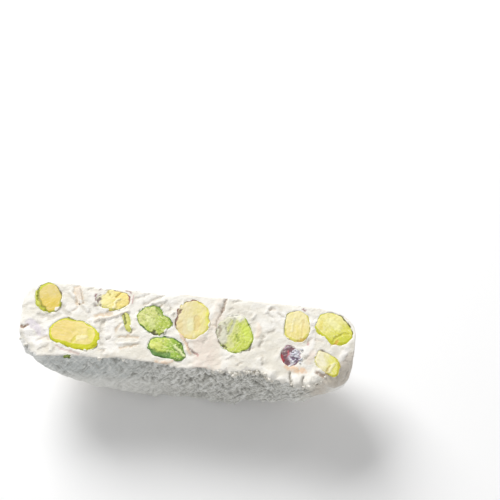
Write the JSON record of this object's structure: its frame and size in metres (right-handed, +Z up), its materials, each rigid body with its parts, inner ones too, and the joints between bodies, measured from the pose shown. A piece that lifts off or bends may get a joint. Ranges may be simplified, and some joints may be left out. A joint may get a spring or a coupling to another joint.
{
  "type": "nougat bar",
  "caption": "Slice of a soft round nougat cake, lying on its floury rim with the flat cut face up, halved pistachios and one red-skinned kernel set in the cut.",
  "frame": {"origin": "on the surface the bar rests on, under the middle of its bounding box", "axes": "+X runs along the bar, +Y through the thickness of the cake towards its back side, +Z up out of the cut face"},
  "size_m": [0.1074, 0.028, 0.0323],
  "materials": {
    "nougat_white": "soft and matte where cut, dusted with flour outside",
    "pistachio_green": "cut nut, faintly oily, pale yellow in the middle and green at the edge",
    "red_skin": "thin dark red skin, faintly shiny"
  },
  "bodies": {
    "root": {"nougat": "nougat_white", "pistachio_01": "pistachio_green", "pistachio_02": "pistachio_green", "pistachio_03": "pistachio_green", "pistachio_04": "pistachio_green", "pistachio_05": "pistachio_green", "pistachio_06": "pistachio_green", "pistachio_07": "pistachio_green", "pistachio_08": "pistachio_green", "pistachio_09": "pistachio_green", "pistachio_10": "pistachio_green", "pistachio_11": "pistachio_green", "red_kernel": "red_skin"}
  },
  "joints": []
}
